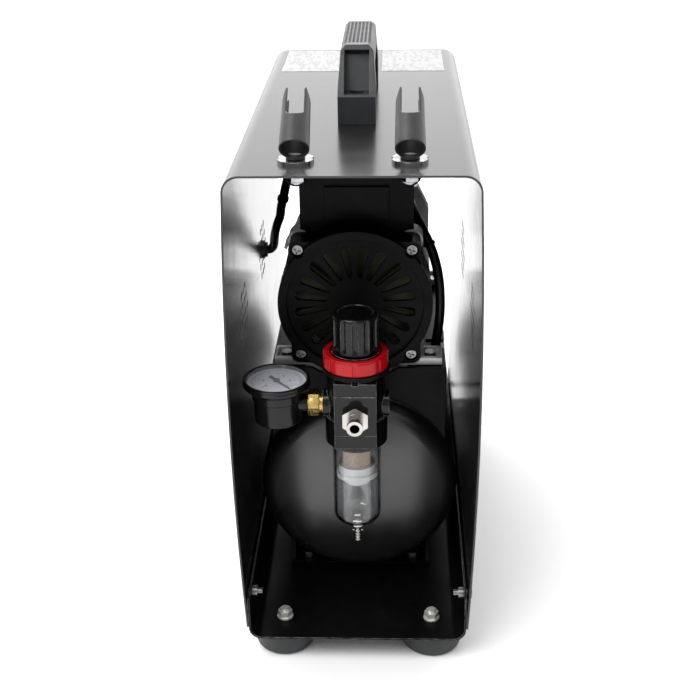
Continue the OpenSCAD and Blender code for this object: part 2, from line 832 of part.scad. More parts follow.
module connecting_rod() {
    big_z = motor_z - crank_throw;
    color("silver") difference() {
        union() {
            y_cyl(motor_x, pin_y0 + 1.5, big_z, 10, 10);
            y_cyl(motor_x, pin_y0 + 1.5, big_z + rod_len, 6, 10);
            span([motor_x - 3.5, pin_y0 + 3.5, big_z + 6],
                [motor_x + 3.5, pin_y0 + 9.5, big_z + rod_len - 3]);
        }
        y_cyl(motor_x, pin_y0, big_z, pin_r + run_gap, 20);
    }
}

// The piston stands clear above the rod: its gudgeon pin is the opened pivot
module piston() {
    low = motor_z - crank_throw + rod_len - 4;
    color("silver") difference() {
        union() {
            z_cyl(motor_x, cylinder_y, low, bore_r - 0.4, 28);
            z_cyl(motor_x, cylinder_y, low + 23, bore_r - run_gap, 3);
        }
        z_cyl(motor_x, cylinder_y, low - 1, bore_r - 3, 25);
    }
}

// A square block over the cylinder, between two heights
module head_block(z0, z1) {
    span([motor_x - head_half, cylinder_y - head_half, z0],
        [motor_x + head_half, cylinder_y + head_half, z1]);
}

module cylinder_node() {
    color("lightgray") difference() {
        union() {
            z_cyl(motor_x, cylinder_y, cylinder_z0, 23, head_z0 - cylinder_z0 - 3);
            for (i = [0 : 4]) z_cyl(motor_x, cylinder_y, cylinder_z0 + 3 + 4.5 * i, cylinder_fin_r, 2);
            head_block(head_z0 - 3 - eps, head_z0);
        }
        z_cyl(motor_x, cylinder_y, cylinder_z0 - 1, bore_r, 60);
        for (sx = [-1, 1], sy = [-1, 1])
            z_cyl(motor_x + sx * head_bolt, cylinder_y + sy * head_bolt, head_z0 - 5, 2.6, 10);
    }
}

module cylinder_head() {
    color("lightgray") difference() {
        union() {
            head_block(head_z0, head_z0 + 20);
            for (i = [-3 : 3]) span([motor_x + i * 8 - 1.2, cylinder_y - head_half, head_z0 + 19],
                [motor_x + i * 8 + 1.2, cylinder_y + head_half, head_z1]);
        }
        for (sx = [-1, 1], sy = [-1, 1]) {
            z_cyl(motor_x + sx * head_bolt, cylinder_y + sy * head_bolt, head_z0 - 1, 2.6, 40);
            z_cyl(motor_x + sx * head_bolt, cylinder_y + sy * head_bolt, head_z0 + 16, 4.8, 30);
        }
        x_cyl(motor_x + 20, cylinder_y, outlet_z, 4.02, 20);
        x_cyl(motor_x - 40, cylinder_y, intake_z, 6.02, 20);
    }
}

module head_bolts() {
    color("silver") for (sx = [-1, 1], sy = [-1, 1])
        translate([motor_x + sx * head_bolt, cylinder_y + sy * head_bolt, 0]) {
            translate([0, 0, head_z0 + 16]) difference() {
                cylinder(r = 4.2, h = 5, $fn = smooth);
                translate([0, 0, 2]) hex(4, 4);
            }
            translate([0, 0, 266]) cylinder(r = 2.5, h = head_z0 + 16 - 266 + eps, $fn = smooth);
        }
}

module intake_filter() {
    color("black") {
        x_cyl(motor_x - 39, cylinder_y, intake_z, 6, 14);
        x_cyl(motor_x - 47, cylinder_y, intake_z, 12, 18);
        for (i = [0 : 2]) x_cyl(motor_x - 45 + 5 * i, cylinder_y, intake_z, 13, 2);
    }
}

// ---------------------------------------------------------------- electrics

module electrical_box() {
    x0 = -36;
    x1 = 35;
    y0 = cover_y1 + 0.2;
    color("black") difference() {
        union() {
            span([x0, y0, 261], [x1, 5, 305]);
            span([x0, y0, 252], [x1, y0 + 16, 261 + eps]);
            x_cyl(x0 - 3, -14, 288, 4.8, 4);
            span([x0 + 2, y0 + 2, 305 - eps], [x1 - 2, 3, 308]);
            span([-20.5, y0 - 2, 263], [19.5, y0 + eps, 284]);
        }
        y_cyl(motor_x, y0 - 5, motor_z, 48.1, 100);
        for (s = [-1, 1])
            y_cyl(motor_x + s * screw_half, y0 - 5, motor_z + screw_half, 7.5, 30);
        span([x0 + 3, y0 + 3, 266], [x1 - 3, 2, 302]);
        span([14, 1, 280], [30, 6, 296]);
    }
}

module rocker_switch() {
    color("black") translate([0, 3.5, 288]) rotate([-10, 0, 0]) difference() {
        x_cyl(14.5, 0, 0, 7, 15);
        span([10, -12, -18], [35, -2, 12]);
        span([10, 3.5, -18], [35, 20, 12]);
    }
}

module supply_lead() {
    color("black") sweep_tube(lead_route, lead_r, 10);
}

module air_hose() {
    color("black") sweep_tube(hose_route, hose_r, 10);
}

module air_fittings() {
    color("gold") {
        // Outlet of the cylinder head
        difference() {
            union() {
                x_cyl(motor_x + 21, cylinder_y, outlet_z, 4, 8);
                span([motor_x + head_half, cylinder_y - 5, outlet_z - 3],
                    [36.5, cylinder_y + 5, outlet_z + 5]);
                z_cyl(31.5, cylinder_y, 284, 3.6, 4);
            }
            x_cyl(motor_x + 20, cylinder_y, outlet_z, 2, 14);
        }
        // Inlet of the tank
        difference() {
            union() {
                z_cyl(inlet[0], inlet[1], 120, 6, 20);
                translate([inlet[0], inlet[1], 136]) hex(11, 6);
                z_cyl(inlet[0], inlet[1], 141, 3.4, 5);
            }
            tank_envelope(0.05);
        }
        // Outlet of the tank, an elbow to the back of the regulator
        difference() {
            union() {
                z_cyl(0, elbow_y, 130, 4.5, 35);
                span([-6, elbow_y - 6, 162], [6, elbow_y + 5.5, 174]);
                y_cyl(0, reg_y + 16, port_z, 4.4, elbow_y - reg_y - 16);
            }
            tank_envelope(0.05);
        }
    }
}

module safety_valve() {
    color("gold") difference() {
        union() {
            z_cyl(0, relief_y, 140, 5, 20);
            translate([0, relief_y, 156]) hex(12, 6);
            z_cyl(0, relief_y, 161, 4.5, 10);
        }
        tank_envelope(0.05);
        z_cyl(0, relief_y, 165, 1.6, 10);
    }
}

module pull_ring() {
    color("silver") {
        z_cyl(0, relief_y, 166, 1.5, 8);
        translate([0, relief_y, 182]) rotate([90, 0, 0]) rotate_extrude($fn = 64)
            translate([8, 0]) circle(r = 1, $fn = 24);
    }
}

module drain_cock() {
    color("gold") {
        y_cyl(0, cock_y - 9, cock_z, 3 - run_gap, 9.4);
        along_y(cock_y + 0.3, cock_y + 7) translate([0, cock_z]) difference() {
            circle(r = 6, $fn = 64);
            for (a = [0 : 30 : 330]) rotate(a) translate([6.3, 0]) circle(r = 0.9, $fn = 24);
        }
    }
}

// ---------------------------------------------------------------- filter regulator

module regulator_body() {
    half = 12.5;
    color("black") translate([0, reg_y, 0]) difference() {
        union() {
            z_cyl(0, 0, body_z0 + 18, 17.6, body_z1 - body_z0 - 18);
            z_cyl(0, 0, body_z0 + 1.5, 19, 18);
            z_cyl(0, 0, body_z0, 17.6, 3);
            span([-half, -19.6, body_z0 + 4], [half, 0, body_z1 - 2]);
            span([-half, -20.4, 155.5], [half, 0, 181.5]);
            x_cyl(-20, 0, port_z, 8.3, 40);
            y_cyl(0, 0, port_z, 8.3, 20);
            // Bonnet neck and guide of the adjusting screw
            z_cyl(0, 0, body_z1 - eps, neck_r, ring_z1 - body_z1 + eps);
            z_cyl(0, 0, ring_z1 - eps, 10.2, 9);
        }
        z_cyl(0, 0, body_z0 - 1, 14.6, 14);
        z_cyl(0, 0, body_z0, 12.6, 20);
        z_cyl(0, 0, port_z - 7, 4, 20);
        z_cyl(0, 0, spring_low - 1, 9.5, ring_z1 - spring_low - 1);
        z_cyl(0, 0, spring_low - 1, shaft_r + run_gap, 60);
        y_cyl(0, -30, port_z, 5.9, 22);
        y_cyl(0, -30, port_z, 3, 50);
        y_cyl(0, 14, port_z, 4.42, 20);
        x_cyl(-30, 0, port_z, 4.9, 16);
        span([-2, -21, body_z1 - 3], [2, -17, body_z1 + eps]);
    }
}

module regulator_bracket() {
    color("black") difference() {
        union() {
            z_cyl(0, reg_y, body_z1, 20.4, ring_z0 - body_z1);
            span([-bracket_half, reg_y, body_z1], [bracket_half, bracket_y, ring_z0]);
            span([-bracket_half, bracket_y - 2, 154], [bracket_half, bracket_y, ring_z0]);
            for (s = [0, 1]) mirror([s, 0, 0])
                span([8, bracket_y - eps, 154], [bracket_half, plate_y[0] - plate_t, 166]);
        }
        z_cyl(0, reg_y, 180, neck_r + run_gap, 30);
        span([-7, elbow_y - 20, 150], [7, elbow_y + 20, 178]);
    }
}

module lock_ring() {
    color("red") translate([0, reg_y, ring_z0]) difference() {
        union() {
            cylinder(d = ring_d - 1.6, h = ring_z1 - ring_z0, $fn = 144);
            translate([0, 0, 1]) linear_extrude(height = ring_z1 - ring_z0 - 2)
                for (a = [0 : 45 : 315]) rotate(a + 22.5) intersection() {
                    circle(d = ring_d, $fn = 144);
                    polygon([[0, 0], [30, 10], [30, -10]]);
                }
        }
        translate([0, 0, -1]) cylinder(r = neck_r + 0.06, h = 30, $fn = smooth);
        translate([0, 0, ring_z1 - ring_z0 - 2.5]) cylinder(r = 16, h = 5, $fn = smooth);
    }
}

module adjusting_screw() {
    color("silver") {
        z_cyl(0, reg_y, 194.6, shaft_r, 27);
        z_cyl(0, reg_y, 194, 7, 2);
    }
}

module regulator_spring() {
    turns = 5;
    steps = 12;
    high = 193.2;
    color("silver") sweep_tube([for (i = [0 : turns * steps])
        [7 * cos(360 * i / steps), reg_y + 7 * sin(360 * i / steps),
            spring_low + (high - spring_low) * i / (turns * steps)]], 0.8, 8);
}

module pressure_knob() {
    flutes = 12;
    color("black") translate([0, reg_y, 0]) difference() {
        union() {
            z_cyl(0, 0, ring_z1 + 0.4, knob_d / 2, 2);
            translate([0, 0, ring_z1 + 2]) linear_extrude(height = knob_z1 - ring_z1 - 4)
                difference() {
                    circle(d = knob_d, $fn = smooth);
                    for (a = [0 : 360 / flutes : 359]) rotate(a)
                        translate([knob_d / 2 + 0.4, 0]) circle(r = 1.5, $fn = 24);
                }
            z_cyl(0, 0, knob_z1 - 2 - eps, knob_d / 2 - 1.2, 2);
        }
        z_cyl(0, 0, ring_z1, 10.9, 14);
        z_cyl(0, 0, ring_z1, shaft_r + run_gap, knob_z1 - ring_z1 - 3);
    }
}

module outlet_nipple() {
    face = reg_y - 20.4;
    color("silver") difference() {
        union() {
            y_cyl(0, face, port_z, 5.85, 8);
            translate([0, face, port_z]) rotate([90, 0, 0]) rotate(30) hex(15, 4.6);
            y_cyl(0, front_y + 1, port_z, nipple_d / 2, face - front_y - 1);
        }
        y_cyl(0, front_y, port_z, 2.9, 40);
    }
}

module filter_element() {
    color("tan") translate([0, reg_y, 0]) difference() {
        union() {
            z_cyl(0, 0, 127, 8.8, body_z0 + 20 - 127);
            z_cyl(0, 0, 119, 12.6, 3);
            z_cyl(0, 0, 121, 11.2, 6 + eps);
            z_cyl(0, 0, 114, 8, 6);
        }
        z_cyl(0, 0, 130, 5, 40);
    }
}

// Half section of the bowl, moved inward by the given amount
module bowl_section(inset) {
    r = bowl_d / 2 - inset;
    low = bowl_z0 + inset;
    corner = 7 - inset;
    square_low = low + corner;
    translate([0, square_low]) square([r, body_z0 - 0.3 - square_low + inset]);
    translate([0, low]) square([r - corner, corner + 1]);
    translate([r - corner, square_low]) intersection() {
        circle(r = corner, $fn = 64);
        translate([0, -corner]) square([corner, 2 * corner]);
    }
}

module filter_bowl() {
    color("lightcyan", 0.4) translate([0, reg_y, 0]) difference() {
        union() {
            rotate_extrude($fn = smooth) bowl_section(0);
            z_cyl(0, 0, body_z0 - 3, 14.3, 14);
            z_cyl(0, 0, 80.5, 4.3, 5);
            z_cyl(0, 0, 82.5, 5.4, 2);
        }
        rotate_extrude($fn = smooth) bowl_section(1.8);
        z_cyl(0, 0, body_z0 - 8, 12.9, 30);
        z_cyl(0, 0, 70, 1.72, 30);
    }
}

module drain_valve() {
    color("gold") translate([0, reg_y, 0]) {
        z_cyl(0, 0, 68, 1.65, 22);
        z_cyl(0, 0, 86.9, 3.4, 1.5);
        for (i = [0 : 3]) z_cyl(0, 0, 69 + 2.2 * i, 2.3, 1.1);
        x_cyl(-3.6, 0, 76, 0.6, 7.2);
    }
}

// ---------------------------------------------------------------- gauge

module gauge_case() {
    lower_r = 13.25;
    color("black") translate([gauge_x, reg_y, 0]) {
        difference() {
            rotate_extrude($fn = smooth) polygon([
                [0, 156], [lower_r - 1.2, 156], [lower_r, 157.2], [lower_r, 172], [14.5, 172],
                [14.5, 177], [gauge_d / 2 - 0.6, 180], [gauge_d / 2, 181],
                [gauge_d / 2, gauge_top - 0.6], [gauge_d / 2 - 0.8, gauge_top], [0, gauge_top]
            ]);
            z_cyl(0, 0, dial_z, 18.2, 10);
        }
        z_cyl(0, 0, dial_z - eps, 1, 0.6);
    }
    color("gold") translate([gauge_x, reg_y, port_z]) {
        x_cyl(lower_r - 0.5, 0, 0, 4, 10);
        translate([19.5, 0, 0]) rotate([0, 90, 0]) hex(10, 7);
        x_cyl(26.4, 0, 0, 5.6, 1.4);
        x_cyl(27.4, 0, 0, 4.85, 5);
    }
}

module gauge_needle() {
    pin = [gauge_x, reg_y, dial_z + 0.75];
    color("black") translate(pin) difference() {
        union() {
            cylinder(r = 2, h = 0.8, $fn = 48);
            rotate(-52) linear_extrude(height = 0.5)
                polygon([[-7, -1.1], [-7, 1.1], [0, 0.8], [14.5, 0.25], [14.5, -0.25], [0, -0.8]]);
        }
        translate([0, 0, -1]) cylinder(r = 0.4, h = 1.5, $fn = 32);
    }
}

base_tray();
cover_shell();
rubber_feet();
foot_bolts();
foot_nuts();
cover_screws();
carry_handle();
handle_screws();
labels();
cable_grommet();
holder_left();
holder_right();
holder_lock_nuts();
holder_under_nuts();
tank_shell();
tank_front_end();
tank_rear_end();
tank_saddles();
saddle_bolts();
motor_bracket();
rubber_mounts();
motor_bolts();
front_end_frame();
motor_shell();
stator();
windings();
fan_cover();
fan_cover_screws();
bearings();
motor_shaft();
rotor_core();
cooling_fan();
crank_disc();
crankcase();
connecting_rod();
piston();
cylinder_node();  // cylinder
cylinder_head();
head_bolts();
intake_filter();
electrical_box();
rocker_switch();
supply_lead();
air_hose();
air_fittings();
safety_valve();
pull_ring();
drain_cock();
regulator_body();
regulator_bracket();
lock_ring();
adjusting_screw();
regulator_spring();
pressure_knob();
outlet_nipple();
filter_element();
filter_bowl();
drain_valve();
gauge_case();
gauge_needle();
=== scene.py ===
import json
import math
import bmesh
import bpy
from mathutils import Matrix, Vector


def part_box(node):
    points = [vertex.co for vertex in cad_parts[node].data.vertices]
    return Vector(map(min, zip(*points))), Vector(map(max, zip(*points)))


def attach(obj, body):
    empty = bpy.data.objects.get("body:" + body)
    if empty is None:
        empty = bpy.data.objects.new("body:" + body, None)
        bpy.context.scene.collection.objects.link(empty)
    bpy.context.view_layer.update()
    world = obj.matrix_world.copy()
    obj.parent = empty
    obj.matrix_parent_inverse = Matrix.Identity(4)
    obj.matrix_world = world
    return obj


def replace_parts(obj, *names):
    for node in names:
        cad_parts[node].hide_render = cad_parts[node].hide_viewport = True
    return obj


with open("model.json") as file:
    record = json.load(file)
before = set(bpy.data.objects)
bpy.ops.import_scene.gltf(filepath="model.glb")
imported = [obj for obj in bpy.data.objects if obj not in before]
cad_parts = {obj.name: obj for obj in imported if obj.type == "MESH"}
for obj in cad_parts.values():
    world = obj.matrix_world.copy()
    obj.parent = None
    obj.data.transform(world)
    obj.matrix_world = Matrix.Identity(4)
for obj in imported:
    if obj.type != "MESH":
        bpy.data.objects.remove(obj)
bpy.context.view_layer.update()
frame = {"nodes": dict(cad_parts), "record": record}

NODES = frame["nodes"]
MM = 0.001
X = Vector((1, 0, 0))
Y = Vector((0, 1, 0))
Z = Vector((0, 0, 1))


# ---------------------------------------------------------------- materials

class Recipe:
    """A node material with a Principled shader, built up in steps."""

    def __init__(self, name):
        self.mat = bpy.data.materials.new(name)
        self.mat.use_nodes = True
        self.tree = self.mat.node_tree
        self.tree.nodes.clear()
        self.out = self.add("ShaderNodeOutputMaterial")
        self.skin = self.add("ShaderNodeBsdfPrincipled")
        self.join(self.skin.outputs["BSDF"], self.out.inputs["Surface"])
        self.where = self.add("ShaderNodeTexCoord").outputs["Object"]

    def add(self, kind, **settings):
        node = self.tree.nodes.new(kind)
        for key, value in settings.items():
            setattr(node, key, value)
        return node

    def join(self, a, b):
        self.tree.links.new(a, b)

    def noise(self, scale, detail=2.0, stretch=(1, 1, 1)):
        place = self.add("ShaderNodeMapping")
        place.inputs["Scale"].default_value = stretch
        self.join(self.where, place.inputs["Vector"])
        tex = self.add("ShaderNodeTexNoise")
        tex.inputs["Scale"].default_value = scale
        tex.inputs["Detail"].default_value = detail
        self.join(place.outputs["Vector"], tex.inputs["Vector"])
        return tex.outputs["Fac"]

    def cells(self, scale):
        tex = self.add("ShaderNodeTexVoronoi")
        tex.inputs["Scale"].default_value = scale
        self.join(self.where, tex.inputs["Vector"])
        return tex.outputs["Distance"]

    def ramp(self, value, low, high, a=0.3, b=0.7):
        """Maps value from a..b to low..high."""
        m = self.add("ShaderNodeMapRange")
        m.inputs["From Min"].default_value = a
        m.inputs["From Max"].default_value = b
        m.inputs["To Min"].default_value = low
        m.inputs["To Max"].default_value = high
        self.join(value, m.inputs["Value"])
        return m.outputs["Result"]

    def math(self, op, a, b=0.0):
        m = self.add("ShaderNodeMath", operation=op)
        for socket, v in zip(m.inputs, (a, b)):
            if isinstance(v, (int, float)):
                socket.default_value = v
            else:
                self.join(v, socket)
        return m.outputs["Value"]

    def mix(self, factor, a, b):
        m = self.add("ShaderNodeMix", data_type="RGBA")
        self.join(factor, m.inputs[0])
        for socket, v in ((m.inputs[6], a), (m.inputs[7], b)):
            if isinstance(v, tuple):
                socket.default_value = (*v, 1)
            else:
                self.join(v, socket)
        return m.outputs[2]

    def colour(self, source):
        self.join(source, self.skin.inputs["Base Color"])

    def set(self, **values):
        for key, value in values.items():
            socket = key.replace("_", " ").title().replace("Ior", "IOR")
            self.skin.inputs[socket].default_value = value

    def bump(self, height, strength, depth, rounding=0.0):
        b = self.add("ShaderNodeBump")
        b.inputs["Strength"].default_value = strength
        b.inputs["Distance"].default_value = depth
        self.join(height, b.inputs["Height"])
        if rounding:
            self.join(self.rounded(rounding), b.inputs["Normal"])
        self.join(b.outputs["Normal"], self.skin.inputs["Normal"])

    def rounded(self, radius):
        bevel = self.add("ShaderNodeBevel", samples=6)
        bevel.inputs["Radius"].default_value = radius
        return bevel.outputs["Normal"]

    def edge_mask(self, radius):
        """1 on outer edges, 0 on open faces; the edges take a colour that is partly wear and partly
        a painted highlight.
        """
        dot = self.add("ShaderNodeVectorMath", operation="DOT_PRODUCT")
        self.join(self.rounded(radius), dot.inputs[0])
        self.join(self.add("ShaderNodeNewGeometry").outputs["Normal"], dot.inputs[1])
        turned = self.math("SUBTRACT", 1.0, dot.outputs["Value"])
        patches = self.ramp(self.noise(260), 0, 1)
        return self.math("MULTIPLY", self.ramp(turned, 0, 1, 0.05, 0.35), patches)


def grey(value):
    """A neutral colour."""
    return (value, value, value)


def coated(name, base, spread, rough, grain, depth, wear_and_highlight, edge=0.4, gloss=0.5, drift=0.05):
    """Paint, plastic or rubber: mottled colour, fine grain, rounded edges coloured partly by wear
    and partly by a painted highlight.

    spread is how much lighter the mottling is, grain and depth are the bump's scale and its
    height in millimetres, the edge colour is partly wear and partly a painted highlight, edge is
    the edges' width in millimetres, and drift is how far the roughness varies.
    """
    r = Recipe(name)
    haze = 0.001
    light = tuple(c * (1 + spread) + haze for c in base)
    body = r.mix(r.ramp(r.noise(140, 4), 0, 1), base, light)
    # the edges blend into the edge colour: wear, and on some finishes a painted highlight
    r.colour(r.mix(r.edge_mask(edge * MM), body, wear_and_highlight))
    r.join(r.ramp(r.noise(60, 3), rough - drift, rough + drift), r.skin.inputs["Roughness"])
    r.set(specular_ior_level=gloss)
    r.bump(r.noise(grain, 2), 0.5, depth * MM, edge * MM)
    return r.mat


def metal(name, base, tint, rough, grain, depth, stretch=(1, 1, 1), edge=0.2, metallic=1.0):
    """Bare or plated metal: colour stained with tint, drawn or cast grain."""
    r = Recipe(name)
    r.colour(r.mix(r.ramp(r.noise(90, 5), 0, 1), base, tint))
    polish = r.ramp(r.noise(grain, 3, stretch), rough - 0.06, rough + 0.1)
    r.join(polish, r.skin.inputs["Roughness"])
    r.set(metallic=metallic)
    r.bump(r.noise(grain, 3, stretch), 0.4, depth * MM, edge * MM)
    return r.mat


def pane(name):
    """Thin clear acrylic in front of the dial, faintly hazed."""
    r = Recipe(name)
    r.colour(r.mix(r.noise(60), (0.90, 0.92, 0.95), (0.80, 0.82, 0.85)))
    r.join(r.ramp(r.noise(30, 3), 0.10, 0.16), r.skin.inputs["Alpha"])
    r.set(roughness=0.06)
    r.bump(r.noise(120, 1), 0.2, 0.01 * MM)
    return r.mat


def label_film(name):
    """White film with rows of faint grey dashes in place of print."""
    r = Recipe(name)
    row = r.add("ShaderNodeSeparateXYZ")
    r.join(r.where, row.inputs["Vector"])
    wave = r.math("SINE", r.math("MULTIPLY", row.outputs["Y"], 1500))
    dash = r.ramp(r.noise(150, 3, (2.5, 0.6, 1)), 0, 1, 0.50, 0.54)
    ink = r.math("MULTIPLY", r.ramp(wave, 0, 1, 0.0, 0.3), dash)
    film = r.mix(r.noise(40), (0.41, 0.41, 0.408), (0.39, 0.39, 0.388))
    r.colour(r.mix(ink, film, (0.27, 0.27, 0.27)))
    r.set(roughness=0.6, specular_ior_level=0.1)
    r.bump(r.noise(800, 2), 0.4, 0.01 * MM)
    return r.mat


def dial_print(name):
    """Pale printed card of the gauge."""
    r = Recipe(name)
    r.colour(r.mix(r.ramp(r.noise(300, 3), 0, 1), (0.74, 0.77, 0.86), (0.68, 0.71, 0.80)))
    r.set(roughness=0.45)
    r.bump(r.noise(2000, 2), 0.2, 0.004 * MM)
    return r.mat


BAFFLE_H = 13       # the milky part of the filter, in millimetres
SLEEVE_H = 4.4      # the plated part of the bowl's nozzle


def filter_medium(name):
    """Sintered bronze tube above, milky baffle below."""
    r = Recipe(name)
    part = r.add("ShaderNodeSeparateXYZ")
    r.join(r.where, part.inputs["Vector"])
    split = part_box("filter_element")[0].z + BAFFLE_H * MM
    upper = r.ramp(part.outputs["Z"], 0, 1, split - 0.1 * MM, split + 0.1 * MM)
    grains = r.cells(1500)
    bronze = r.mix(r.ramp(grains, 0, 1, 0.1, 0.7), (0.55, 0.40, 0.26), (0.24, 0.15, 0.08))
    r.colour(r.mix(upper, r.mix(r.noise(200), (0.80, 0.79, 0.78), (0.72, 0.71, 0.70)), bronze))
    r.set(roughness=0.4, subsurface_weight=0.15, subsurface_scale=0.002)
    r.bump(r.math("MULTIPLY", grains, upper), 0.6, 0.15 * MM)
    return r.mat


def bowl_skin(name):
    """Clear moulded bowl whose lower nozzle carries a plated sleeve."""
    r = Recipe(name)
    part = r.add("ShaderNodeSeparateXYZ")
    r.join(r.where, part.inputs["Vector"])
    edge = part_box("filter_bowl")[0].z + SLEEVE_H * MM
    lower = r.ramp(part.outputs["Z"], 1, 0, edge - 0.05 * MM, edge + 0.05 * MM)
    clear = r.mix(r.noise(80), (0.97, 0.98, 0.99), (0.93, 0.94, 0.96))
    r.colour(r.mix(lower, clear, (0.72, 0.71, 0.69)))
    r.join(lower, r.skin.inputs["Metallic"])
    r.join(r.ramp(lower, 0.02, 0.22, 0, 1), r.skin.inputs["Roughness"])
    r.set(transmission_weight=1.0, ior=1.49)
    r.bump(r.noise(90, 1), 0.25, 0.05 * MM, 0.3 * MM)
    return r.mat


PAINT = coated("satin_paint", grey(0.006), spread=0.3, rough=0.20, grain=1800, depth=0.0025,
               wear_and_highlight=grey(0.09), edge=0.4, gloss=0.62, drift=0.012)
FRAME_PAINT = coated("frame_paint", grey(0.002), spread=0.4, rough=0.36, grain=1500, depth=0.01,
                     wear_and_highlight=grey(0.04), edge=0.5, gloss=0.08)
TANK_PAINT = coated("tank_paint", grey(0.004), spread=0.3, rough=0.29, grain=1900, depth=0.006,
                    wear_and_highlight=grey(0.06), edge=0.5, gloss=0.95, drift=0.02)
PLASTIC = coated("moulded_plastic", grey(0.003), spread=0.4, rough=0.42, grain=2200, depth=0.015,
                 wear_and_highlight=(0.02, 0.02, 0.021), edge=0.5, gloss=0.08)
HOLDER = coated("holder_plastic", (0.016, 0.016, 0.017), spread=0.5, rough=0.40, grain=2600,
                depth=0.03, wear_and_highlight=(0.05, 0.05, 0.052), edge=0.4, gloss=0.45)
GRIP = coated("grip_plastic", (0.014, 0.015, 0.017), spread=0.4, rough=0.42, grain=1800,
              depth=0.02, wear_and_highlight=(0.06, 0.062, 0.068), edge=0.8, gloss=0.5)
# painted highlight: the near-white edge colour stands in for bright glints along the casting's
# edges
GLOSS = coated("gloss_casting", grey(0.002), spread=0.3, rough=0.14, grain=700, depth=0.008,
               wear_and_highlight=grey(0.75), edge=0.55, gloss=0.30)
# painted highlight: the light edge colour stands in for thin glints along the gauge case's rims
CASE = coated("gauge_case_paint", grey(0.003), spread=0.3, rough=0.22, grain=900, depth=0.006,
              wear_and_highlight=grey(0.20), edge=0.4, gloss=0.30)
RUBBER = coated("rubber", (0.010, 0.011, 0.012), spread=0.5, rough=0.55, grain=1400, depth=0.02,
                wear_and_highlight=grey(0.05), edge=0.6, gloss=0.5)
CABLE = coated("cable_sleeve", grey(0.003), spread=0.4, rough=0.30, grain=900, depth=0.01,
               wear_and_highlight=grey(0.03), edge=0.3, gloss=0.3)
RED = coated("red_plastic", (0.34, 0.002, 0.006), spread=0.25, rough=0.20, grain=500, depth=0.012,
             wear_and_highlight=(0.60, 0.05, 0.05), edge=0.6, gloss=0.28)
FILM = label_film("label_film")
CHROME = metal("chrome", (0.52, 0.52, 0.54), tint=(0.26, 0.26, 0.28), rough=0.12, grain=500,
               depth=0.003)
ZINC = metal("zinc", (0.50, 0.49, 0.47), tint=grey(0.36), rough=0.32, grain=900, depth=0.006)
NICKEL = metal("nickel", (0.56, 0.53, 0.50), tint=(0.40, 0.38, 0.36), rough=0.14, grain=800,
               depth=0.004)
CAST = metal("cast_aluminium", grey(0.58), tint=(0.42, 0.42, 0.43), rough=0.42, grain=700,
             depth=0.05, edge=0.5, metallic=0.5)
# painted highlight: the pale edge colour stands in for the bright line along the tray's front lip
TRAY = coated("tray_paint", grey(0.002), spread=0.4, rough=0.36, grain=1500, depth=0.01,
              wear_and_highlight=(0.66, 0.64, 0.60), edge=0.6, gloss=0.08)
PLATED = metal("plated_steel", (0.74, 0.73, 0.70), tint=(0.55, 0.54, 0.52), rough=0.26, grain=900,
               depth=0.006, metallic=0.55)
SCREW = metal("dulled_screw", (0.30, 0.30, 0.31), tint=grey(0.14), rough=0.30, grain=900,
              depth=0.01)
BRASS = metal("brass", (0.80, 0.58, 0.22), tint=(0.62, 0.43, 0.15), rough=0.24, grain=700,
              depth=0.006)
COPPER = metal("copper_wire", (0.62, 0.28, 0.12), tint=(0.40, 0.16, 0.07), rough=0.35, grain=1500,
               depth=0.05, stretch=(1, 0.1, 1))
FAN = coated("fan_plastic", (0.030, 0.028, 0.012), spread=0.5, rough=0.45, grain=900, depth=0.02,
             wear_and_highlight=(0.08, 0.075, 0.045), edge=0.3, gloss=0.3)
NEEDLE = coated("needle_paint", (0.012, 0.009, 0.009), spread=0.4, rough=0.45, grain=1500,
                depth=0.004, wear_and_highlight=(0.06, 0.04, 0.03), edge=0.1)
MARK_RED = coated("scale_red", (0.40, 0.05, 0.05), spread=0.2, rough=0.5, grain=900, depth=0.002,
                  wear_and_highlight=(0.5, 0.1, 0.1), edge=0.05)
GLASS = pane("gauge_glass")
BOWL = bowl_skin("clear_bowl")
MEDIUM = filter_medium("filter_medium")
DIAL = dial_print("dial_print")

SLOT_LOOK = {
    "cover_paint": PAINT, "black_paint": FRAME_PAINT, "black_rubber": RUBBER, "chrome": CHROME,
    "zinc_steel": ZINC, "black_plastic": PLASTIC, "black_casting": GLOSS, "red_plastic": RED,
    "cast_aluminium": CAST, "brass": BRASS, "copper_wire": COPPER, "clear_bowl": BOWL,
    "filter_medium": MEDIUM, "fan_plastic": FAN, "label_film": FILM, "needle_metal": NEEDLE,
}
NODE_LOOK = {
    "tank_shell": TANK_PAINT, "tank_front_end": TANK_PAINT, "tank_rear_end": TANK_PAINT,
    "carry_handle": GRIP, "holder_left": GRIP, "holder_right": GRIP, "pressure_knob": GLOSS,
    "outlet_nipple": NICKEL, "fan_cover_screws": SCREW, "motor_bolts": SCREW, "cover_screws": SCREW,
    "base_tray": TRAY, "foot_nuts": PLATED, "foot_bolts": PLATED, "supply_lead": CABLE,
    "air_hose": CABLE,
}


def dress_frame():
    """Gives every CAD node its material."""
    for part in frame["record"]["subparts"]:
        look = NODE_LOOK.get(part["node"], SLOT_LOOK[part["material_slot"]])
        mesh = NODES[part["node"]].data
        mesh.materials.clear()
        mesh.materials.append(look)


# ---------------------------------------------------------------- mesh helpers

def baked(bm, name):
    """Turns a bmesh into a mesh and frees it."""
    mesh = bpy.data.meshes.new(name)
    bm.to_mesh(mesh)
    bm.free()
    return mesh


def linked(name, data):
    """A new object in the scene."""
    thing = bpy.data.objects.new(name, data)
    bpy.context.scene.collection.objects.link(thing)
    return thing


def dressed(name, data, look, body):
    """A new piece with its material, riding on a body."""
    piece = linked(name, data)
    data.materials.append(look)
    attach(piece, body)
    return piece


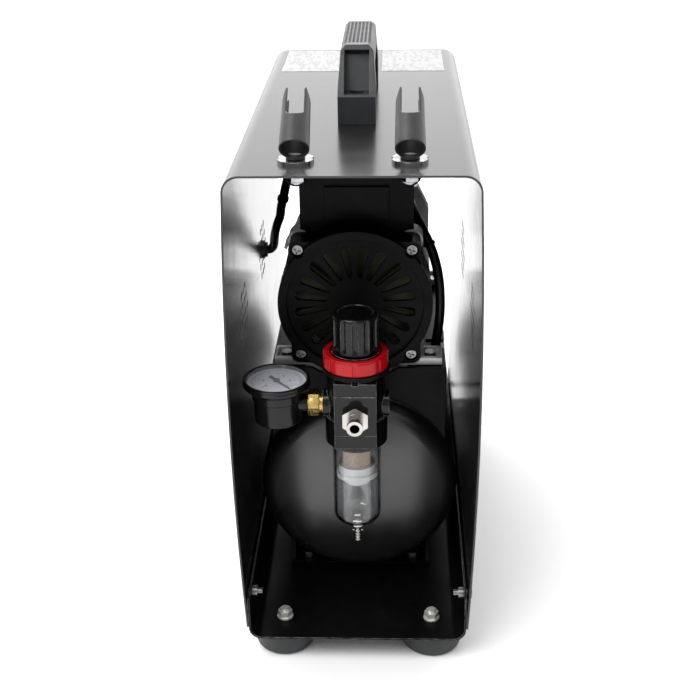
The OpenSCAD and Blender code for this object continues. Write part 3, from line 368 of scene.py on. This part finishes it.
def place(mesh, name, look, body, slot, smooth=35):
    """A mesh piece, smooth but for edges sharper than an angle."""
    for poly in mesh.polygons:
        poly.use_smooth = True
    mesh.set_sharp_from_angle(angle=math.radians(smooth))
    return dressed(name, mesh, look, body)


def frame_to(centre, axis):
    """The matrix that takes +Z at the origin to an axis at a centre."""
    turn = Z.rotation_difference(Vector(axis)).to_matrix().to_4x4()
    return Matrix.Translation(Vector(centre)) @ turn


def lathe(profile, centre, axis=Z, sides=96, wobble=None):
    """Turns (radius, height) pairs in millimetres round an axis.

    wobble(angle, radius, height) gives a changed radius.
    """
    bm = bmesh.new()
    rings = []
    for r, h in profile:
        if r == 0:
            rings.append([bm.verts.new((0, 0, h * MM))])
            continue
        ring = []
        for i in range(sides):
            a = 2 * math.pi * i / sides
            rr = wobble(a, r, h) if wobble else r
            ring.append(bm.verts.new((rr * MM * math.cos(a), rr * MM * math.sin(a), h * MM)))
        rings.append(ring)
    for low, high in zip(rings, rings[1:]):
        m, n = len(low), len(high)
        for i in range(sides):
            j = (i + 1) % sides
            unique = list(dict.fromkeys([low[i % m], low[j % m], high[j % n], high[i % n]]))
            if len(unique) > 2:
                bm.faces.new(unique)
    bmesh.ops.recalc_face_normals(bm, faces=bm.faces)
    bm.transform(frame_to(centre, axis))
    return baked(bm, "lathe")


def round_step(points, r=0.4, steps=3):
    """Rounds the corners of an open profile."""
    share = 0.45    # the most of a side that one corner may take
    out = [points[0]]
    for a, b, c in zip(points, points[1:], points[2:]):
        a, b, c = Vector(a), Vector(b), Vector(c)
        da, dc = (a - b), (c - b)
        cut = min(r, da.length * share, dc.length * share)
        p, q = b + da.normalized() * cut, b + dc.normalized() * cut
        for i in range(steps + 1):
            t = i / steps
            out.append(tuple(p * (1 - t) ** 2 + b * 2 * t * (1 - t) + q * t * t))
    out.append(points[-1])
    return out


def prism(sides, radius, height, centre, axis, turn=0.0, chamfer=0.6):
    """A nut-like prism with its corners turned off at both ends."""
    flat = radius * math.cos(math.pi / sides)
    face = flat * 0.97

    def shape(a, r, h):
        local = (a - turn) % (2 * math.pi / sides) - math.pi / sides
        return min(flat / math.cos(local), r)

    outline = [(0, 0), (face, 0), (radius, chamfer), (radius, height - chamfer), (face, height),
               (0, height)]
    return lathe(outline, centre, axis, sides * 16, shape)


def tube(name, points, radius, look, body, sides=8):
    """A smooth round tube through the given points, in millimetres."""
    curve = bpy.data.curves.new(name, "CURVE")
    curve.dimensions = "3D"
    curve.bevel_depth = radius * MM
    curve.bevel_resolution = sides
    curve.use_fill_caps = True
    curve.resolution_u = 8
    line = curve.splines.new("BEZIER")
    line.bezier_points.add(len(points) - 1)
    for knot, p in zip(line.bezier_points, points):
        knot.co = Vector(p) * MM
        knot.handle_left_type = knot.handle_right_type = "AUTO"
    return dressed(name, curve, look, body)


def middle(node):
    """The centre of a node's box."""
    low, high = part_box(node)
    return (low + high) / 2


# ---------------------------------------------------------------- gauge

DIAL_DEEP = 3.0      # how far the dial's seat lies below the rim, in millimetres
DIAL_CARD = 0.3      # the top of the dial's card over its seat


def gauge_profile(base, top):
    """The case from its back to the rim and down to the dial's seat."""
    body_r, collar_r, rim_r, groove_r = 14.2, 15.4, 20.4, 20.1
    seat = top - DIAL_DEEP + 0.02
    back = [(0, base), (body_r - 1, base), (body_r, base + 1), (body_r, base + 15.2),
            (body_r - 0.3, base + 15.4), (body_r - 0.3, base + 15.7), (collar_r, base + 15.9),
            (collar_r, base + 20.8)]
    rim = [(rim_r - 0.8, top - 4.8), (rim_r, top - 4.2), (rim_r, top - 2.6), (groove_r, top - 2.4),
           (groove_r, top - 2.0), (rim_r, top - 1.8), (rim_r, top - 0.5), (rim_r - 0.5, top)]
    return back + rim + [(18.8, top), (18.3, top - 0.4), (18.2, seat), (0, seat)]


def gauge():
    """The case, dial, lens, marks and stem of the pressure gauge."""
    low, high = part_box("gauge_case")
    cx = low.x + (high.y - low.y) / 2
    cy = (low.y + high.y) / 2
    top, base = high.z / MM, low.z / MM
    under, face = top - DIAL_DEEP + 0.1, top - DIAL_DEEP + DIAL_CARD
    dial_r, lens_r = 17.9, 18.15
    card = [(0, face), (dial_r, face), (dial_r, under), (0, under)]
    lens = [(0, top - 0.9), (lens_r, top - 0.9), (lens_r, top - 0.35), (0, top - 0.2)]
    at = (cx, cy, 0)
    case = place(lathe(round_step(gauge_profile(base, top), 0.35), at, sides=128),
                 "gauge_housing", CASE, "housing", "black_plastic")
    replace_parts(case, "gauge_case")
    place(lathe(card, at), "gauge_dial", DIAL, "housing", "label_film")
    place(lathe(round_step(lens, 0.1), at), "gauge_lens", GLASS, "housing", "clear_bowl")
    gauge_marks(cx / MM, cy / MM, face)
    gauge_figures(cx / MM, cy / MM, face)
    gauge_stem(cx / MM, cy / MM)


def bar(bm, centre, angle, inner, outer, width, z, height):
    """A thin radial bar standing on a dial."""
    c, s = math.cos(angle), math.sin(angle)
    half = width / 2
    corners = []
    for r, w in ((inner, -half), (outer, -half), (outer, half), (inner, half)):
        corners.append((centre[0] + r * c - w * s, centre[1] + r * s + w * c))
    lower = [bm.verts.new((x * MM, y * MM, z * MM)) for x, y in corners]
    upper = [bm.verts.new((x * MM, y * MM, (z + height) * MM)) for x, y in corners]
    bm.faces.new(lower[::-1])
    bm.faces.new(upper)
    for i in range(4):
        j = (i + 1) % 4
        bm.faces.new((lower[i], lower[j], upper[j], upper[i]))


def gauge_marks(cx, cy, z):
    """Two rings of plain scale marks over three quarters of the dial."""
    for name, look, count, inner, outer, width in (
            ("gauge_scale_outer", NEEDLE, 51, 14.2, 15.8, 0.16),
            ("gauge_scale_inner", MARK_RED, 11, 10.6, 12.2, 0.3)):
        bm = bmesh.new()
        for i in range(count):
            longer = 1.1 if i % 5 == 0 else 0.0
            bar(bm, (cx, cy), dial_angle(i / (count - 1)), inner - longer, outer, width, z, 0.05)
        place(baked(bm, name), name, look, "housing", "needle_metal")


def dial_angle(share):
    """The direction of a share of the scale, which starts at the lower left."""
    start, sweep = 225, 270
    return math.radians(start - sweep * share)


def gauge_figures(cx, cy, z):
    """The figures 0 to 10 inside the scale."""
    count, ring_r = 6, 8.3
    for i in range(count):
        angle = dial_angle(i / (count - 1))
        text = bpy.data.curves.new("digit", "FONT")
        text.body = str(2 * i)
        text.size = 3.4 * MM
        text.extrude = 0.02 * MM
        text.align_x = text.align_y = "CENTER"
        piece = dressed(f"gauge_figure_{i}", text, NEEDLE, "housing")
        x, y = cx + ring_r * math.cos(angle), cy + ring_r * math.sin(angle)
        piece.location = (x * MM, y * MM, (z + 0.02) * MM)


def gauge_stem(cx, cy):
    """Black boss, brass hexagon and grooved collar between the gauge and the regulator."""
    z = middle("outlet_nipple").z
    at = (cx * MM, cy * MM, z)
    boss_r, hex_r, collar_r, groove_r, thread_r = 5.4, 8.3, 6.3, 5.8, 4.85
    hex_at, hex_h = 18.6, 7.4
    boss = [(0, 12), (boss_r, 12), (boss_r, 18.5), (0, 18.5)]
    collar = [(0, 25.9), (collar_r, 25.9), (collar_r, 26.6), (groove_r, 26.8), (groove_r, 27.1),
              (collar_r, 27.3), (collar_r, 27.8), (thread_r, 27.9), (thread_r, 32.3), (0, 32.3)]
    place(lathe(round_step(boss, 0.3), at, X, 64), "gauge_neck", CASE, "housing", "black_plastic")
    nut = prism(6, hex_r, hex_h, ((cx + hex_at) * MM, cy * MM, z), X, math.pi / 6)
    place(nut, "gauge_hex", BRASS, "housing", "brass")
    place(lathe(round_step(collar, 0.15), at, X, 64), "gauge_collar", BRASS, "housing", "brass")


# ---------------------------------------------------------------- regulator

def clamp(value):
    """Holds a value between 0 and 1."""
    return min(1, max(0, value))


def knob():
    """The fluted cap of the pressure regulator, hollow from below."""
    low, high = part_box("pressure_knob")
    at = ((low.x + high.x) / 2, (low.y + high.y) / 2, 0)
    r = (high.x - low.x) / 2 / MM
    base, top = low.z / MM, high.z / MM
    flutes, flute_deep, skirt = 12, 1.15, 1.6
    screw_r, bore_r, bore_h = 4.2, 10.7, 13.4

    def fluted(a, radius, h):
        if radius < r - skirt:
            return radius
        grip = clamp((h - base - 2.6) / 1.2) * clamp((top - skirt - h) / 1.0)
        wave = max(0.0, math.cos(flutes * a)) ** 0.6
        return radius - flute_deep * grip * wave

    steps = [base + 3 + (top - base - 5) * i / 12 for i in range(13)]
    ceiling = base + bore_h
    inside = [(screw_r, top - 3.4), (screw_r, ceiling), (bore_r, ceiling), (bore_r, base)]
    rim = [(r - 0.6, base), (r, base + 0.6), (r, base + 2.0), (r - 0.2, base + 2.4)]
    crown = [(r - 0.3, top - 1.2), (r - 0.9, top - 0.35), (r - 2.2, top), (r - 3.2, top),
             (r - 3.6, top - 0.5), (0, top - 0.55)]
    outline = inside + rim + [(r - 0.1, h) for h in steps] + crown
    cap = lathe(outline, at, sides=288, wobble=fluted)
    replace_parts(place(cap, "knob_moulding", GLOSS, "knob", "black_plastic", 50), "pressure_knob")


def drain_stem():
    """The barbed drain stem under the bowl and the pin across it."""
    low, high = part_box("drain_valve")
    cy = middle("filter_bowl").y
    z, top = low.z / MM, high.z / MM
    core_r, barb_r, neck_r, head_r = 1.35, 2.25, 1.65, 3.3
    pin_r, pin_half, pin_h = 0.6, 3.5, 8
    outline = [(0, z), (1.1, z), (1.2, z + 0.3)]
    for i in range(4):
        h = z + 0.8 + 2.2 * i
        outline += [(core_r - 0.1, h), (barb_r, h + 0.5), (barb_r - 0.05, h + 0.9),
                    (core_r, h + 1.5)]
    outline += [(core_r, z + 9.8), (neck_r, z + 10.2), (neck_r, top - 1.5), (head_r, top - 1.4),
                (head_r, top), (0, top)]
    stem = place(lathe(outline, (0, cy, 0), sides=48), "drain_stem", NICKEL, "drain", "brass", 50)
    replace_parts(stem, "drain_valve")
    end = [(pin_r - 0.15, pin_half), (pin_r, pin_half - 0.2)]
    pin = [(0, -pin_half)] + [(r, -h) for r, h in end] + end[::-1] + [(0, pin_half)]
    place(lathe(pin, (0, cy, (z + pin_h) * MM), X, 24), "drain_pin", NICKEL, "drain", "brass")


# ---------------------------------------------------------------- holders

# The split tube, in millimetres.
HOLDER_LEN = 39.9
HOLDER_IN = 7.42        # the inner radius
HOLDER_WALL = 1.0
HOLDER_TAPER = 0.7      # how much smaller the radius is at the far end
SLOT_AT = 19.4          # where the slot in the upper side starts
SLOT_HALF = 4.9


def split_tube(mouth, along, over):
    """The open surface of a tube whose upper side is slotted and whose tips slope."""
    cols, rows = 72, 44
    mid_r = HOLDER_IN + HOLDER_WALL / 2
    bm = bmesh.new()
    grid = {}
    for j in range(rows + 1):
        s = HOLDER_LEN * j / rows
        r = mid_r - HOLDER_TAPER * max(0, s - 3) / HOLDER_LEN
        for i in range(cols):
            a = 2 * math.pi * i / cols
            off = mouth + along * s + (X * math.cos(a) + over * math.sin(a)) * r
            grid[i, j] = bm.verts.new(off * MM)
    for j in range(rows):
        s = HOLDER_LEN * (j + 0.5) / rows
        for i in range(cols):
            across = abs(mid_r * math.cos(2 * math.pi * (i + 0.5) / cols))
            ledge = SLOT_AT + 1.6 * (across / SLOT_HALF) ** 4
            tip = HOLDER_LEN - 0.1 - 6.5 * max(0.0, (across - SLOT_HALF - 0.9) / 2.2)
            if (s > ledge and across < SLOT_HALF) or s > tip:
                continue
            k = (i + 1) % cols
            bm.faces.new((grid[i, j], grid[k, j], grid[k, j + 1], grid[i, j + 1]))
    loose = [v for v in bm.verts if not v.link_faces]
    bmesh.ops.delete(bm, geom=loose, context="VERTS")
    soften_rims(bm, 6)
    return bm


def holder(name, node, body):
    """A moulded split tube with soft edges, on a stem and a thread."""
    low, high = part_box(node)
    cx = (low.x + high.x) / 2 / MM
    cy = middle("holder_lock_nuts").y / MM
    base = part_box("holder_lock_nuts")[1].z / MM
    mouth = Vector((cx, cy - 8.7, base + 7.1))
    tilt = math.radians(35)
    along = Vector((0, math.cos(tilt), math.sin(tilt)))
    over = along.cross(X) * -1
    shell = baked(split_tube(mouth, along, over), name)
    piece = place(shell, name, HOLDER, body, "black_plastic", 180)
    thick = piece.modifiers.new("wall", "SOLIDIFY")
    thick.thickness = HOLDER_WALL * MM
    thick.offset = 0
    soft = piece.modifiers.new("soft", "SUBSURF")
    soft.levels = soft.render_levels = 2
    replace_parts(piece, node)
    stud_r, disc_r, stud_end = 3.0, 5.4, base - 8.2
    stem = [(0, stud_end), (stud_r - 0.4, stud_end), (stud_r, stud_end + 0.6), (stud_r, base + 0.1),
            (disc_r, base + 0.1), (disc_r, base + 2.6), (disc_r - 0.6, base + 3.2), (0, base + 3.2)]
    at = (cx * MM, cy * MM, 0)
    place(lathe(round_step(stem, 0.3), at, sides=64), name + "_stem", HOLDER, body, "black_plastic")
    skin_r = HOLDER_IN + HOLDER_WALL - 0.12
    seam = [mouth + along * s + over * (skin_r - HOLDER_TAPER * s / HOLDER_LEN)
            for s in (1.5, 6, 12, SLOT_AT - 1.5)]
    tube(name + "_seam", seam, 0.22, HOLDER, body, 3)


def soften_rims(bm, rounds):
    """Evens out the stepped edges of an open mesh."""
    for _ in range(rounds):
        goals = []
        for v in (v for v in bm.verts if v.is_boundary):
            near = [e.other_vert(v) for e in v.link_edges if e.is_boundary]
            if len(near) == 2:
                goals.append((v, v.co * 0.5 + (near[0].co + near[1].co) * 0.25))
        for v, goal in goals:
            v.co = goal


# ---------------------------------------------------------------- cables

# The two cable routes, in millimetres, as the CAD has them.
LEAD = [(-39.1, -14, 288), (-41.5, -14, 288), (-45, -13, 283), (-47.5, -9, 273), (-50, -4, 264),
        (-52.5, 2, 254), (-54.5, 7, 246), (-56, 12, 238), (-58.5, 16, 231), (-60.5, 20, 224),
        (-62, 25, 217), (-63, 30, 211), (-64.5, 34, 207), (-66.5, 35, 205.2), (-68, 35, 205),
        (-70, 35, 205), (-73, 35, 205)]
HOSE = [(31.5, 45, 283.9), (31.5, 45, 278), (31.5, 42, 269), (31.5, 35, 261.5), (31.5, 27, 257.5),
        (32, 16, 256.5), (32.5, 4, 256.5), (33, -8, 256), (34.5, -19, 254.5), (37, -28, 251),
        (40.5, -35, 246), (45.5, -40, 237), (49.5, -43, 226), (52, -45, 214), (53, -46, 202),
        (53, -47, 190), (52, -47, 179), (50.5, -47, 168), (49, -47, 157), (49, -47, 146)]


def band(name, path, index, radius, width, look, slot):
    """A ring round a cable at one of its points."""
    along = (Vector(path[index + 1]) - Vector(path[index - 1])).normalized()
    half, inner = width / 2, radius - 0.9
    ring = [(inner, -half), (radius, -half), (radius, half), (inner, half), (inner, -half)]
    mesh = lathe(round_step(ring, 0.2), Vector(path[index]) * MM, along, 48)
    place(mesh, name, look, "housing", slot)


def cables():
    """The lead and the hose, with their crimps and ties."""
    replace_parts(tube("lead_sleeve", LEAD, 3.1, CABLE, "housing"), "supply_lead")
    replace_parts(tube("hose_sleeve", HOSE, 3.2, CABLE, "housing"), "air_hose")
    band("hose_crimp_top", HOSE, 1, 4.1, 7, ZINC, "zinc_steel")
    band("hose_crimp_low", HOSE, 18, 4.1, 7, ZINC, "zinc_steel")
    band("hose_tie", HOSE, 11, 4.0, 2.4, PLASTIC, "black_plastic")
    band("lead_tie", LEAD, 5, 3.9, 2.4, PLASTIC, "black_plastic")


# ---------------------------------------------------------------- small details

def weld_beads():
    """Wavy beads where the dished ends meet the tank."""
    low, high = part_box("tank_shell")
    cz = (low.z + high.z) / 2
    r = (high.x - low.x) / 2 / MM
    waves, wave_h = 70, 0.15
    half = [(r + 0.5, 0.5), (r + 0.1, 1.3), (r - 0.4, 1.6)]
    bead = [(out, -h) for out, h in half[::-1]] + half

    def ripple(a, radius, h):
        return radius + wave_h * math.sin(waves * a) * (radius > r)

    for name, y in (("front_weld", low.y), ("rear_weld", high.y)):
        ring = lathe(bead, (0, y, cz), Y, 420, ripple)
        place(ring, name, TANK_PAINT, "housing", "black_paint", 60)


def feet():
    """Turned rubber feet that narrow towards the ground."""
    low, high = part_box("rubber_feet")
    r, h, well_r, well_h = 21.5, high.z / MM, 7, 7
    top = h - 0.05
    side = [(0, well_h), (well_r, well_h), (well_r, 0.4), (well_r + 0.4, 0), (16, 0), (17.6, 0.5),
            (18.8, 1.9), (19.6, 4.5), (20.6, 9), (r, h - 1.6), (r, h - 0.7), (r - 0.6, top),
            (0, top)]
    for i, x in enumerate((low.x + r * MM, high.x - r * MM)):
        for j, y in enumerate((low.y + r * MM, high.y - r * MM)):
            piece = place(lathe(side, (x, y, 0)), f"foot_{i}{j}", RUBBER, "housing", "black_rubber")
            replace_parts(piece, "rubber_feet")


def box_between(bm, lo, hi):
    """One closed box given by two corners, in metres."""
    outline = ((lo[0], lo[1]), (hi[0], lo[1]), (hi[0], hi[1]), (lo[0], hi[1]))
    verts = [bm.verts.new((x, y, z)) for z in (lo[2], hi[2]) for x, y in outline]
    for f in ((3, 2, 1, 0), (4, 5, 6, 7), (0, 1, 5, 4), (1, 2, 6, 5), (2, 3, 7, 6), (3, 0, 4, 7)):
        bm.faces.new([verts[k] for k in f])


def jam_nuts():
    """Domed plated nuts on the holders' studs, under the top plate."""
    low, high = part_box("holder_under_nuts")
    inset, nut_r, nut_h = 6.4 * MM, 6.7, 3.8
    cap = [(0, -7.4), (1.5, -7.3), (3.2, -6.6), (4.6, -5.4), (5.0, -4.4), (5.7, -4.2),
           (5.7, -nut_h), (0, -nut_h)]
    for name, x in (("left_jam_nut", low.x + inset), ("right_jam_nut", high.x - inset)):
        at = Vector((x, (low.y + high.y) / 2, low.z - 0.1 * MM))
        place(lathe(cap, at, sides=48), name + "_cap", CHROME, "housing", "chrome")
        nut = prism(6, nut_r, nut_h, at - Z * nut_h * MM, Z, 0.2, 0.4)
        place(nut, name, CHROME, "housing", "chrome")


def grip_ribs():
    """Low cross ribs that turn the handle's grooves into a grid."""
    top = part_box("carry_handle")[1].z / MM
    pitch, half_long, half_wide, each_side = 1.7, 7.9, 0.35, 19
    bm = bmesh.new()
    for i in range(-each_side, each_side + 1):
        y = i * pitch
        box_between(bm, Vector((-half_long, y - half_wide, top - 0.95)) * MM,
                    Vector((half_long, y + half_wide, top - 0.3)) * MM)
    place(baked(bm, "handle_ribs"), "handle_ribs", GRIP, "housing", "black_plastic")


# ---------------------------------------------------------------- room, light and camera

def room():
    """A sheet of white studio paper for a floor."""
    bm = bmesh.new()
    bmesh.ops.create_grid(bm, x_segments=4, y_segments=4, size=6)
    floor = linked("studio_floor", baked(bm, "floor"))
    r = Recipe("studio_paper")
    r.colour(r.mix(r.noise(3), (0.93, 0.93, 0.93), (0.91, 0.91, 0.915)))
    r.set(roughness=0.75)
    floor.data.materials.append(r.mat)


def sky():
    """A white room that is brighter behind the object than in front of it."""
    world = bpy.data.worlds.new("studio")
    bpy.context.scene.world = world
    world.use_nodes = True
    tree = world.node_tree
    tree.nodes.clear()
    out = tree.nodes.new("ShaderNodeOutputWorld")
    back = tree.nodes.new("ShaderNodeBackground")
    where = tree.nodes.new("ShaderNodeTexCoord")
    split = tree.nodes.new("ShaderNodeSeparateXYZ")
    depth = tree.nodes.new("ShaderNodeMapRange")
    for name, value in (("From Min", -0.2), ("From Max", 0.8), ("To Min", 0.6), ("To Max", 1.85)):
        depth.inputs[name].default_value = value
    tree.links.new(where.outputs["Generated"], split.inputs["Vector"])
    tree.links.new(split.outputs["Y"], depth.inputs["Value"])
    tree.links.new(depth.outputs["Result"], back.inputs["Strength"])
    back.inputs["Color"].default_value = (1.0, 1.0, 1.0, 1)
    tree.links.new(back.outputs["Background"], out.inputs["Surface"])


def softbox(name, where, aim, size, power):
    """A rectangular area light that faces a point."""
    lamp = bpy.data.lights.new(name, "AREA")
    lamp.shape = "RECTANGLE"
    lamp.size, lamp.size_y = size
    lamp.energy = power
    box = linked(name, lamp)
    box.location = where
    box.rotation_euler = (Vector(aim) - Vector(where)).to_track_quat("-Z", "Y").to_euler()


def camera():
    """Perspective camera, looking down and a little to the left, with a slight roll."""
    yaw, pitch, roll = (math.radians(v) for v in (2.29, 25.3, 0.833))
    ahead = Vector((-math.sin(yaw), math.cos(yaw), 0))
    side = Vector((math.cos(yaw), math.sin(yaw), 0))
    view = ahead * math.cos(pitch) - Z * math.sin(pitch)
    down = -ahead * math.sin(pitch) - Z * math.cos(pitch)
    right = side * math.cos(roll) + down * math.sin(roll)
    up = side * math.sin(roll) - down * math.cos(roll)
    turn = Matrix((right, up, -view)).transposed()
    data = bpy.data.cameras.new("camera")
    data.lens, data.sensor_width = 61.87, 36
    data.clip_start, data.clip_end = 0.02, 50
    eye = linked("camera", data)
    eye.matrix_world = Matrix.Translation((0.0225, -0.7768, 0.509)) @ turn.to_4x4()
    bpy.context.scene.camera = eye


camera()
room()
sky()
softbox("top_softbox", (-0.75, -0.8, 1.6), (0, -0.1, 0.1), (1.4, 1.2), 32)
softbox("rear_softbox", (-0.3, 1.3, 1.6), (0, 0.9, 0), (1.6, 1.0), 30)
bpy.context.scene.view_settings.view_transform = "Standard"
dress_frame()
gauge()
knob()
drain_stem()
holder("left_rest", "holder_left", "left_holder")
holder("right_rest", "holder_right", "right_holder")
cables()
weld_beads()
feet()
grip_ribs()
jam_nuts()
